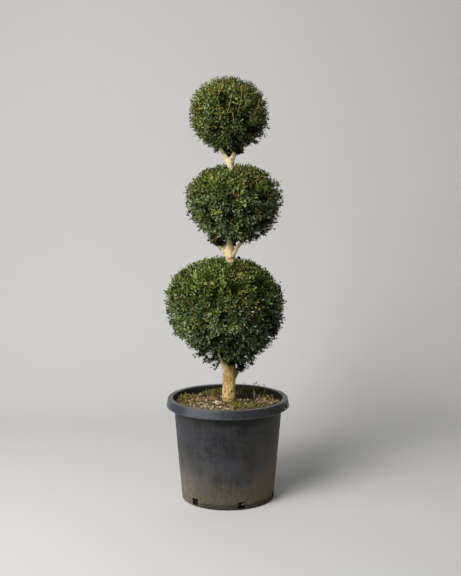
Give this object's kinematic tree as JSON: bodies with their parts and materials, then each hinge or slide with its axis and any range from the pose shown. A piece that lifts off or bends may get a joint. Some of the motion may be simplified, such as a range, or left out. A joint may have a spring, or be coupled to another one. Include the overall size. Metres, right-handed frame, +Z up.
{
  "type": "potted boxwood topiary",
  "caption": "Evergreen boxwood on a bare trunk, clipped into balls stacked one above another, growing in a tapered plastic nursery pot with a turned-down collar.",
  "frame": {"origin": "middle of the pot's flat underside, on the surface that the pot stands on", "axes": "+Z up along the pot's axis, -Y towards the viewer in the picture, +X to the viewer's right"},
  "size_m": [0.4044, 0.4, 1.3533],
  "materials": {
    "pot_plastic": "weathered black polypropylene, dusty and mud-stained near the foot",
    "compost": "loose bark and peat compost with grit and moss",
    "bark": "pale corky bark with warty ridges",
    "leaves": "small leathery leaves, satin above and dull below"
  },
  "bodies": {
    "root": {"pot": "pot_plastic", "soil": "compost", "trunk": "bark", "bough_low_left": "bark", "bough_low_right": "bark", "bough_mid_left": "bark", "bough_mid_right": "bark", "bough_top_left": "bark", "bough_top_right": "bark", "foliage_low": "leaves", "foliage_mid": "leaves", "foliage_top": "leaves"}
  },
  "joints": []
}
